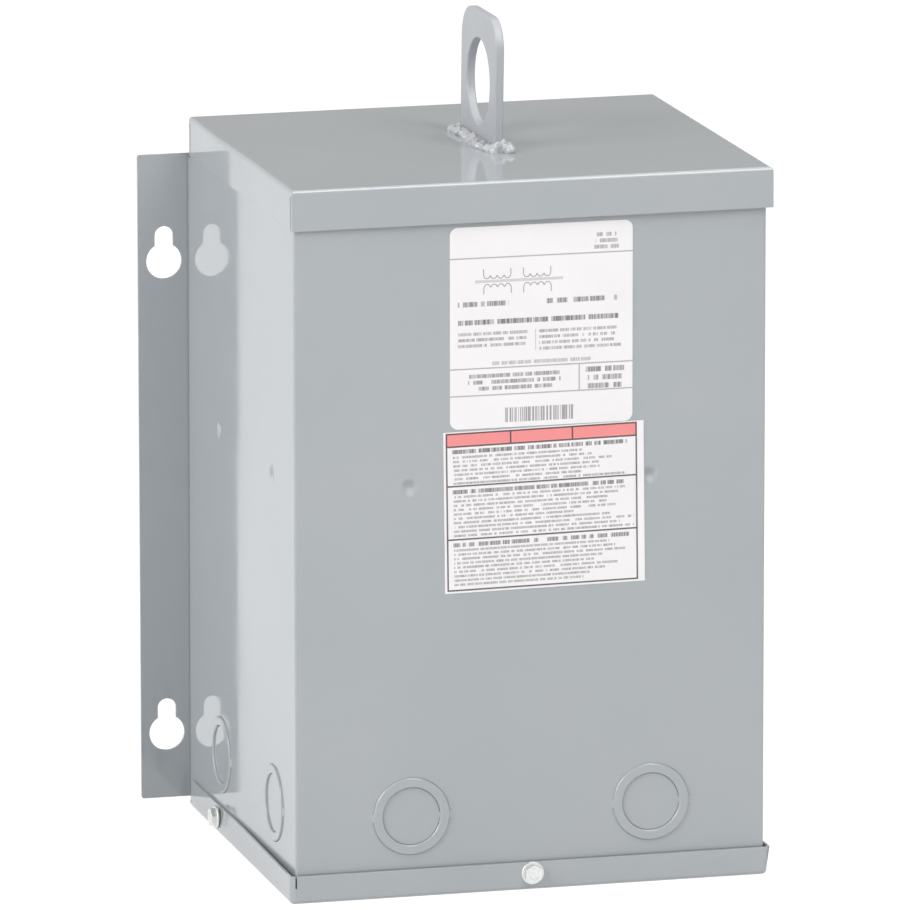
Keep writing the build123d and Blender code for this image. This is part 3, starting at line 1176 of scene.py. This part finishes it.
@dataclass
class BackPlate:
    """The flat rear plate whose ears carry the four keyholes."""

    paint: Material
    key_r: float = 9.0 * MM
    slot_r: float = 4.7 * MM
    slot_rise: float = 12.8 * MM
    deep: float = 12.0 * MM
    ear_half: float = 13.2 * MM
    low_z: float = 36.8 * MM
    high_z: float = 276.8 * MM
    rounding: float = 0.76 * MM
    corner: float = 1.2 * MM

    def keyhole_tool(self, at: Vector) -> Workpiece:
        """A round bar with a narrower slot running up from it.

        Args:
            at: the middle of the large round.

        Returns:
            The tool.
        """
        slot = Workpiece.rod(at, self.slot_r, self.deep, Axis.Y, NARROW_ROUND)
        slot.pick(Kind.VERT, lambda c, n: c.z > at.z + TOUCH)
        slot.slide((0, 0, self.slot_rise))
        return slot.fuse(Workpiece.rod(at, self.key_r, self.deep, Axis.Y, ROUND))

    def make(self) -> None:
        """Builds and dresses the plate."""
        low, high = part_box("back_plate")
        plate = Workpiece.block(low, high)
        plate.pick(Kind.EDGE, lambda c, d: abs(d.y) > MOSTLY)
        plate.bevel(self.corner, segments=4)
        key_x = high.x - self.ear_half
        for x in (-key_x, key_x):
            for z in (self.low_z, self.high_z):
                plate.carve(self.keyhole_tool(Vector((x, (low.y + high.y) / 2, z))))
        plate.soften(self.rounding, segments=4)
        plate.hand_over("rear_plate", self.paint, Slot.ENAMEL, ["back_plate"])


@dataclass
class Lid:
    """The folded tray turned over the top of the body, with slits at its corners."""

    paint: Material
    sheet: float = 1.1 * MM
    bend: float = 2.0 * MM
    half_width: float = 119.33 * MM
    middle_x: float = 0.9 * MM
    rear_short: float = 1.7 * MM
    skirt_short: float = 0.7 * MM
    roll: float = math.radians(-0.2)
    yaw: float = math.radians(-0.2)
    flare_from: float = -26.0 * MM
    flare_crest: float = 46.0 * MM
    flare_to: float = 104.0 * MM
    flare_out: float = -1.0 * MM
    flare_back: float = 0.6 * MM
    slit_near: float = 1.9 * MM
    slit_far: float = 3.4 * MM
    slit_top: float = 3.2 * MM
    rounding: float = 0.35 * MM

    def make(self) -> None:
        """Builds and dresses the lid, set on a touch askew."""
        low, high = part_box("lid")
        low.x, high.x = -self.half_width, self.half_width
        high.y -= self.rear_short
        low.z += self.skirt_short
        lid = Workpiece.block(low, high)
        lid.pick(Kind.FACE, lambda c, n: n.z < -MOSTLY)
        lid.drop()
        lid.pick(Kind.EDGE, lambda c, d: c.z > high.z - TOUCH)
        lid.bevel(self.bend, segments=8)
        for start, end, move in (
            (self.flare_from, self.flare_crest, self.flare_out),
            (self.flare_crest, self.flare_to, self.flare_back),
        ):
            lid.flare(low.x, start, end, move, move)
        self.cut_slits(lid, low.y, high.y, high.z - self.slit_top)
        lid.thicken(self.sheet)
        lid.soften(self.rounding, segments=4)
        lid.shift((self.middle_x, 0, 0))
        pivot = (self.middle_x, (low.y + high.y) / 2, high.z)
        lid.turn(self.roll, "Y", pivot)
        lid.turn(self.yaw, "Z", pivot)
        lid.hand_over("lid_tray", self.paint, Slot.ENAMEL, ["lid"])

    def cut_slits(self, lid: Workpiece, front: float, rear: float, top: float) -> None:
        """Slits the side skirts just behind the front corners and before the rear ones.

        Args:
            lid: the lid, still without thickness.
            front: where the lid starts along Y.
            rear: where it ends.
            top: where the slits end above.
        """
        slits = (
            (front + self.slit_near, front + self.slit_far),
            (rear - self.slit_far, rear - self.slit_near),
        )
        for slit in slits:
            for y in slit:
                lid.pick_all()
                lid.saw((0, y, 0), (0, 1, 0))
        lid.pick(Kind.FACE, lambda c, n: abs(n.x) > FLAT)
        lid.saw((0, 0, top), (0, 0, 1))
        lid.pick(
            Kind.FACE,
            lambda c, n: abs(n.x) > FLAT and c.z < top and any(near < c.y < far for near, far in slits),
        )
        lid.drop()


@dataclass
class Pan:
    """The shallow tray under the body, a little to the left, its side flanges sprung."""

    paint: Material
    sheet: float = 1.3 * MM
    left_x: float = -120.85 * MM
    right_x: float = 118.6 * MM
    height: float = 13.8 * MM
    corner: float = 2.6 * MM
    bend: float = 2.2 * MM
    rear_end: float = 99.5 * MM
    slit_depth: float = 6.0 * MM
    slit_width: float = 0.8 * MM
    slit_in: float = 2.85 * MM
    rounding: float = 0.5 * MM
    right_reach: float = 20.0 * MM
    left_reach: float = 4.0 * MM
    sides_from: float = 110.0 * MM
    right_flare: float = 1.6 * MM
    right_fade: float = 0.6
    left_lean: float = 1.2 * MM
    left_give: float = 0.6 * MM
    lean_start: float = -96.0 * MM
    lean_run: float = 90.0 * MM
    give_start: float = 14.0 * MM
    give_run: float = 86.0 * MM
    stations: int = 12

    def spring(
        self, pan: Workpiece, side: int, level: float, y: float, reach: float, move: float
    ) -> None:
        """Springs a short stretch of a side flange sideways.

        Args:
            pan: the pan, still without thickness.
            side: -1 for the left flange or 1 for the right one.
            level: the height of the points that move.
            y: the stretch's middle.
            reach: half the stretch.
            move: how far its points move along X.
        """
        pan.pick(
            Kind.VERT,
            lambda c, n: c.x * side > self.sides_from
            and abs(c.z - level) < TOUCH
            and abs(c.y - y) < reach,
        )
        pan.slide((move, 0, 0))

    def make(self) -> None:
        """Builds and dresses the pan."""
        low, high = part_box("bottom_pan")
        half = (self.right_x - self.left_x) / 2
        low.x, high.x, high.z = -half, half, self.height
        pan = Workpiece.block(low, high)
        pan.pick(Kind.FACE, lambda c, n: max(n.y, n.z) > MOSTLY)
        pan.drop()
        pan.pick(Kind.EDGE, lambda c, d: abs(d.z) > MOSTLY and c.y < low.y + TOUCH)
        pan.bevel(self.corner, segments=6)
        pan.pick(Kind.EDGE, lambda c, d: c.z < low.z + TOUCH and c.y < high.y - TOUCH)
        pan.bevel(self.bend, segments=6)
        pan.pick_all()
        pan.saw((0, self.rear_end, 0), (0, 1, 0))
        pan.pick(Kind.FACE, lambda c, n: c.y > self.rear_end and n.z > -FLAT)
        pan.drop()
        top = high.z - self.slit_depth
        pan.pick(Kind.FACE, self.is_wall)
        pan.saw((0, 0, top), (0, 0, 1))
        self.cut_slits(pan, Vector((half, low.y, 0)), top)
        self.spring_sides(pan, low.y, top, high.z)
        pan.thicken(self.sheet)
        pan.soften(self.rounding, segments=4)
        pan.shift(((self.left_x + self.right_x) / 2, 0, 0))
        pan.hand_over("pan_tray", self.paint, Slot.ENAMEL, ["bottom_pan"])

    @staticmethod
    def is_wall(centre: Vector, normal: Vector) -> bool:
        """Whether a face belongs to the flange, not the floor."""
        return normal.z > -0.5

    def spring_sides(self, pan: Workpiece, front: float, middle: float, top: float) -> None:
        """Springs the right flange outwards and the left one inwards, half as far below their edges.

        Args:
            pan: the pan, still without thickness.
            front: where it starts along Y.
            middle: the height of the points below the edges.
            top: the height of the edges.
        """
        step = (self.rear_end - front) / self.stations
        for number in range(1, self.stations):
            pan.pick(Kind.FACE, lambda c, n: abs(n.x) > FLAT)
            pan.saw((0, front + step * number, 0), (0, 1, 0))
        for number in range(self.stations + 1):
            y = front + step * number
            lean = self.left_lean * min(1.0, max(0.0, (y - self.lean_start) / self.lean_run))
            lean -= self.left_give * ease(max(0.0, y - self.give_start) / self.give_run)
            flare = self.right_flare * (1 - self.right_fade * number / self.stations)
            for level, share in ((middle, 0.5), (top, 1.0)):
                self.spring(pan, 1, level, y, step / 2, flare * share)
                self.spring(pan, -1, level, y, step / 2, lean * share)

    def cut_slits(self, pan: Workpiece, corner: Vector, top: float) -> None:
        """Slits the front corners, the right one on the slant and the left one in the front.

        Args:
            pan: the pan, still without thickness, centred on X.
            corner: where the right corner would be if it were sharp.
            top: where the slits end below.
        """
        slant = Vector((1, 1, 0)).normalized()
        middle = Vector((self.slit_in - corner.x, corner.y, 0))
        for at, across, span in (
            (corner, slant, self.right_reach),
            (middle, Vector((1, 0, 0)), self.left_reach),
        ):
            for side in (-1, 1):
                pan.pick(Kind.FACE, self.is_wall)
                pan.saw(at + across * side * self.slit_width / 2, across)
            pan.pick(
                Kind.FACE,
                lambda c, n: c.z > top
                and abs((c - at).dot(across)) < self.slit_width / 2
                and math.hypot(c.x - at.x, c.y - at.y) < span,
            )
            pan.drop()


@dataclass
class LiftingEye:
    """The flat plate with rounded top corners and one hole that stands across the lid."""

    paint: Material
    thickness: float = 4.4 * MM
    shift_x: float = -0.4 * MM
    corner: float = 16.0 * MM
    hole_r: float = 21.1 * MM
    hole_rise: float = 29.8 * MM
    deep: float = 30.0 * MM
    rounding: float = 0.7 * MM
    lean: float = math.radians(0.9)
    yaw: float = math.radians(0.4)

    def make(self) -> None:
        """Builds and dresses the eye."""
        low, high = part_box("lifting_eye")
        middle = box_middle("lifting_eye")
        middle.x += self.shift_x
        low.x, high.x = middle.x - self.thickness / 2, middle.x + self.thickness / 2
        eye = Workpiece.block(low, high)
        eye.pick(Kind.EDGE, lambda c, d: abs(d.x) > MOSTLY and c.z > high.z - TOUCH)
        eye.bevel(self.corner, segments=20)
        hole = Vector((middle.x, middle.y, low.z + self.hole_rise))
        eye.carve(Workpiece.rod(hole, self.hole_r, self.deep, Axis.X, WIDE_ROUND))
        eye.soften(self.rounding, segments=4)
        foot = (middle.x, middle.y, low.z)
        eye.turn(self.lean, "Y", foot)
        eye.turn(self.yaw, "Z", foot)
        eye.shift((0, 0, -self.thickness * math.sin(self.lean)))
        eye.hand_over("eye_plate", self.paint, Slot.ENAMEL, ["lifting_eye"])


@dataclass
class WeldBeads:
    """The four lumpy beads round the foot of the eye, under the same paint.

    The lumps' heights and widths are shares of the CAD bead's leg, and their lengths of the pitch.
    The beads are listed with the coordinate each runs along, 0 for X or 1 for Y, and its swell.
    """

    paint: Material
    pitch: float = 1.6 * MM
    fewest: int = 5
    wander: float = 0.8 * MM
    lift: float = 0.25
    nearest: float = 0.1
    breadth: float = 0.85
    heights: Pair = (0.5, 0.85)
    thinning: float = 0.32
    lengths: Pair = (0.7, 1.9)
    widths: Pair = (0.3, 0.52)
    voxel: float = 0.35 * MM
    smear: Pair = (2.6 * MM, 0.9 * MM)
    ripple: Pair = (1.1 * MM, 0.15 * MM)
    sunk: float = 0.55
    root_out: float = 0.2
    root_rise: float = 0.1
    root_wide: float = 0.45
    root_tall: float = 0.5
    smoothing: int = 5
    seed: int = 7
    beads: tuple[tuple[str, int, float], ...] = (
        ("left", 1, 0.85),
        ("right", 1, 0.85),
        ("front", 0, 1.5),
        ("rear", 0, 0.6),
    )

    @staticmethod
    def lump(along: int, places: Sequence[float], radii: Sequence[float]) -> Workpiece:
        """An egg shape, its place and radii given along the bead, across it and upwards."""
        if along == 1:
            places = (places[1], places[0], places[2])
            radii = (radii[1], radii[0], radii[2])
        return Workpiece.ball(Vector(places), radii)

    def bead(self, node: str, along: int, swell: float, dice: random.Random) -> None:
        """Builds one bead as a ragged smear of lumps melted together.

        Args:
            node: the CAD bead it stands for.
            along: the coordinate that the bead runs along, 0 for X or 1 for Y.
            swell: how much higher or lower than an even bead it is.
            dice: the source of the lumps' unevenness.
        """
        low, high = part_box(node)
        across = 1 - along
        eye = box_middle("lifting_eye")[across]
        inner, outer = sorted((low[across], high[across]), key=lambda side: abs(side - eye))
        outward, leg = outer - inner, abs(outer - inner)
        start, length = low[along], high[along] - low[along]
        count = max(self.fewest, round(length / self.pitch))
        lumps = []
        for number in range(count):
            reach = dice.uniform(0.0, 1.0)
            rise = leg * dice.uniform(0.0, self.lift)
            place = start + (number + 0.5) / count * length + dice.uniform(-self.wander, self.wander)
            tall = leg * swell * (dice.uniform(*self.heights) - self.thinning * reach)
            long = self.pitch * dice.uniform(*self.lengths)
            wide = leg * dice.uniform(*self.widths)
            off = inner + outward * (self.nearest + self.breadth * reach)
            lumps.append(self.lump(along, (place, off, low.z + rise), (long, wide, tall)))
        root = self.lump(
            along,
            (start + length / 2, inner + self.root_out * outward, low.z + self.root_rise * leg),
            (length / 2, self.root_wide * leg, self.root_tall * leg * swell),
        )
        bead = root.gather(lumps)
        bead.modify("REMESH", mode="VOXEL", voxel_size=self.voxel)
        for name, (scale, depth) in (("_smear", self.smear), ("_ripple", self.ripple)):
            clouds = bpy.data.textures.new(node + name, "CLOUDS")
            clouds.noise_scale = scale
            bead.modify(
                "DISPLACE", texture=clouds, strength=depth, mid_level=self.sunk, texture_coords="LOCAL"
            )
        bead.modify("SMOOTH", factor=0.5, iterations=self.smoothing)
        bead.hand_over(node.replace("eye_weld", "weld_bead"), self.paint, Slot.ENAMEL, [node], 80)

    def make(self) -> None:
        """Builds all four beads."""
        dice = random.Random(self.seed)
        for side, along, swell in self.beads:
            self.bead(f"eye_weld_{side}", along, swell, dice)


@dataclass
class PanScrews:
    """Hex washer head screws through the pan's flanges."""

    plating: Material
    pan: Pan
    washer_r: float = 5.6 * MM
    washer_thick: float = 0.95 * MM
    washer_round: float = 0.4 * MM
    flats: float = 8.3 * MM
    head: float = 3.7 * MM
    dish: float = 0.25 * MM
    dish_rim: float = 1.1 * MM
    edge: float = 0.35 * MM
    shank_r: float = 2.2 * MM
    shank: float = 3.8 * MM
    left_out: float = 0.3 * MM
    right_out: float = 0.48 * MM

    def pattern(self) -> Workpiece:
        """A screw facing the viewer, its washer's seat at the origin."""
        middle = Vector((0, -self.washer_thick / 2, 0))
        washer = Workpiece.rod(middle, self.washer_r, self.washer_thick, Axis.Y, ROUND)
        washer.pick(Kind.EDGE, lambda c, d: c.y < -self.washer_thick + TOUCH)
        washer.bevel(self.washer_round, segments=4)
        tall = self.head - self.washer_thick / 2
        hex_r = self.flats / 2 / math.cos(math.pi / HEX)
        head = Workpiece.rod(Vector((0, tall / 2 - self.head, 0)), hex_r, tall, Axis.Y, HEX)
        head.pick(Kind.EDGE, lambda c, d: c.y < -self.head + TOUCH or abs(d.y) > MOSTLY)
        head.bevel(self.edge, segments=3)
        head.pick(Kind.FACE, lambda c, n: n.y < -FLAT and c.y < -self.head + TOUCH)
        bpy.ops.mesh.inset(thickness=self.dish_rim, depth=0)
        bpy.ops.mesh.inset(thickness=self.dish, depth=-self.dish)
        inside = Vector((0, self.shank / 2, 0))
        shank = Workpiece.rod(inside, self.shank_r, self.shank, Axis.Y, HIDDEN_ROUND)
        return washer.gather([head, shank])

    def make(self) -> None:
        """Puts a screw in each flange."""
        pattern = self.pattern()
        front = Vector((box_middle("front_screw").x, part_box("front_screw")[0].y + self.head))
        left = Vector((self.pan.left_x - self.left_out, box_middle("left_screw").y))
        right = Vector((self.pan.right_x + self.right_out, box_middle("right_screw").y))
        for side, turn, squint, seat in (
            ("front", 0, 0.0, front),
            ("left", -1, 0.25, left),
            ("right", 1, 0.5, right),
        ):
            node = f"{side}_screw"
            screw = pattern.copy()
            screw.turn(squint, "Y", ORIGIN)
            screw.turn(turn * math.pi / 2, "Z", ORIGIN)
            screw.shift((seat.x, seat.y, box_middle(node).z))
            screw.hand_over(f"{side}_hex_screw", self.plating, Slot.ZINC, [node], 30)
        pattern.discard()


@dataclass
class Stickers:
    """The two white stickers on the front, with plain ruled print laid out in mm."""

    upper_corner: float = 4.0 * MM
    lower_width: float = 99.8 * MM
    lower_height: float = 79.2 * MM
    lower_rise: float = 0.4 * MM
    lower_turn: float = math.radians(0.65)
    edge: float = 0.06 * MM
    frame_x: Pair = (1.1, 96.4)
    frame_z: Pair = (0.5, 78.2)
    frame_line: float = 0.78
    frame_ink: float = 0.92
    band_end: float = 7.2
    band_splits: Pair = (33.0, 63.8)
    cells: tuple[float, ...] = (6.8, 26.2, 52.4)

    @staticmethod
    def upper_print() -> list[object]:
        """The upper sticker's lines, dashes, coil drawing and bar strip."""
        wide, line, coil = 91, 0.6, 13.6
        marks = [Rule((0, level), (wide, level + line)) for level in (15.0, 68.9, 82.1)]
        marks.append(Rule((63.9, 69.2), (63.9 + line, 82.5)))
        marks.append(Rule((42.3, 51.2), (42.7, 61.4), 0.4))
        marks.append(Rule((12.5, 26.1), (56.2, 27.5), 0.3))
        for left in (16.6, 36.4):
            marks.append(Windings(left, left + coil, 24.0, True))
            marks.append(Windings(left + 0.2, left + 0.2 + coil, 29.8, False))
        bold = dict(pitch=8.9, count=1, height=2.4, ragged=0)
        marks.append(DashRows(3.9, 29.0, 36.5, ink=0.82, **bold))
        marks.append(DashRows(48.0, 83.0, 36.5, ink=0.82, **bold))
        marks.append(DashRows(3.9, 83.6, 45.4, ink=0.85, **bold))
        small = dict(pitch=2.85, height=1.5, ink=0.6, ragged=0.1)
        marks.append(DashRows(3.9, 40.8, 51.5, count=3, **small))
        marks.append(DashRows(44.2, 85.2, 51.5, count=4, **small))
        marks.append(DashRows(21.0, 70.0, 66.1, pitch=4.0, count=1, height=1.8, ink=0.5, ragged=0))
        boxed = dict(count=3, centred=True)
        marks.append(DashRows(70.4, 85.2, 5.6, pitch=3.0, height=1.9, ink=0.6, ragged=0.2, **boxed))
        marks.append(DashRows(1.7, 62.2, 72.0, pitch=3.05, height=1.9, ink=0.7, ragged=0.2, **boxed))
        marks.append(DashRows(67.2, 86.8, 71.0, pitch=4.1, height=2.5, ink=0.75, ragged=0.1, **boxed))
        marks.append(BarStrip((27.4, 89.0), (61.2, 96.1)))
        return marks

    def lower_print(self) -> list[object]:
        """The lower sticker's frame, cells and rows of dashes."""
        left, right, top, bottom, line = *self.frame_x, *self.frame_z, self.frame_line
        band, *cells = self.cells
        ink = self.frame_ink
        marks = [Rule((left, z), (right, z + line), ink) for z in (top, band, *cells, bottom - line)]
        marks += [Rule((x, top), (x + line, bottom), ink) for x in (left, right - line)]
        marks += [Rule((x, top), (x + line, band), ink) for x in self.band_splits]
        heading = dict(left=4.3, right=92.5, pitch=3.0, count=1, height=2.0, ink=0.85, ragged=0.05)
        body = dict(left=4.6, right=94.6, pitch=2.12, height=1.15, ink=0.62, ragged=0.35)
        for first, second, count in ((8.7, 11.9, 7), (28.4, 31.3, 10), (54.5, 57.5, 9)):
            marks.append(DashRows(top=first, **heading))
            marks.append(DashRows(top=second, count=count, **body))
        return marks

    def make(self) -> None:
        """Builds both stickers."""
        low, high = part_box("upper_label")
        upper = Workpiece.block(low, high)
        upper.pick(Kind.EDGE, lambda c, d: abs(d.y) > MOSTLY)
        upper.bevel(self.upper_corner, segments=8)
        upper.soften(self.edge, segments=2)
        paper = PrintedPaper("upper_sticker_print", (low.x, high.z), self.upper_print())
        upper.hand_over("upper_sticker", paper.make(), Slot.PAPER, ["upper_label"])
        low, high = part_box("lower_label")
        middle = box_middle("lower_label") + Vector((0, 0, self.lower_rise))
        half = Vector((self.lower_width, high.y - low.y, self.lower_height)) / 2
        lower = Workpiece.block(middle - half, middle + half)
        lower.turn(-self.lower_turn, "Y", middle)
        lower.soften(self.edge, segments=2)
        spin = Matrix.Rotation(-self.lower_turn, 3, "Y")
        corner = middle + spin @ Vector((-half.x, 0, half.z))
        band = Rule((self.frame_x[0], self.frame_z[0]), (self.frame_x[1], self.band_end), 1.0)
        paper = PrintedPaper(
            "lower_sticker_print", (corner.x, corner.z), self.lower_print(), self.lower_turn, band
        )
        lower.hand_over("lower_sticker", paper.make(), Slot.PAPER, ["lower_label"])


def main() -> None:
    """Builds the studio and every piece, in order."""
    logging.basicConfig(level=logging.INFO, format="%(name)s: %(message)s")
    Camera().make()
    Studio().make()
    enamel = Enamel().make()
    left, right = BodyWrap.dent_front_x
    level = BodyWrap.dent_front_z
    # The body's enamel, with painted shade above and painted highlight below its spot-weld dents.
    dent_shading = Enamel(
        "grey_enamel_dent_shading",
        shaded_dents=(
            DentSpot("X", left, level, 4.4 * MM),
            DentSpot("X", right, level, 4.2 * MM),
            DentSpot("Y", -59.5 * MM, 202.5 * MM, 5.0 * MM),
        ),
    )
    body = BodyWrap(dent_shading.make())
    body.make()
    Knockouts(enamel, body).make()
    # The plate's enamel: the body's grey a little darker as painted shade, since the body keeps the key
    # light off the ears, with a painted crease shadow along the body's edges.
    plate_paint_shaded = Enamel(
        "grey_enamel_plate_shaded",
        grey=(0.375, 0.400, 0.420, 1.0),
        pale=(0.385, 0.410, 0.430, 1.0),
        crease_shade=118.6 * MM,
    )
    BackPlate(plate_paint_shaded.make()).make()
    Lid(enamel).make()
    pan = Pan(enamel)
    pan.make()
    eye_paint = Enamel(
        "grey_enamel_satin",
        grey=(0.42, 0.44, 0.47, 1.0),
        pale=(0.44, 0.455, 0.48, 1.0),
        fleck=(0.40, 0.42, 0.45, 1.0),
        smoothest=0.32,
        roughest=0.4,
    )
    LiftingEye(eye_paint.make()).make()
    weld_paint = Enamel(
        "grey_enamel_weld",
        grey=(0.47, 0.48, 0.50, 1.0),
        pale=(0.52, 0.53, 0.54, 1.0),
        smoothest=0.15,
        roughest=0.28,
    )
    WeldBeads(weld_paint.make()).make()
    PanScrews(Zinc().make(), pan).make()
    Stickers().make()
    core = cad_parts["core_block"].data
    core.materials.clear()
    core.materials.append(Potting().make())


if __name__ == "__main__":
    main()
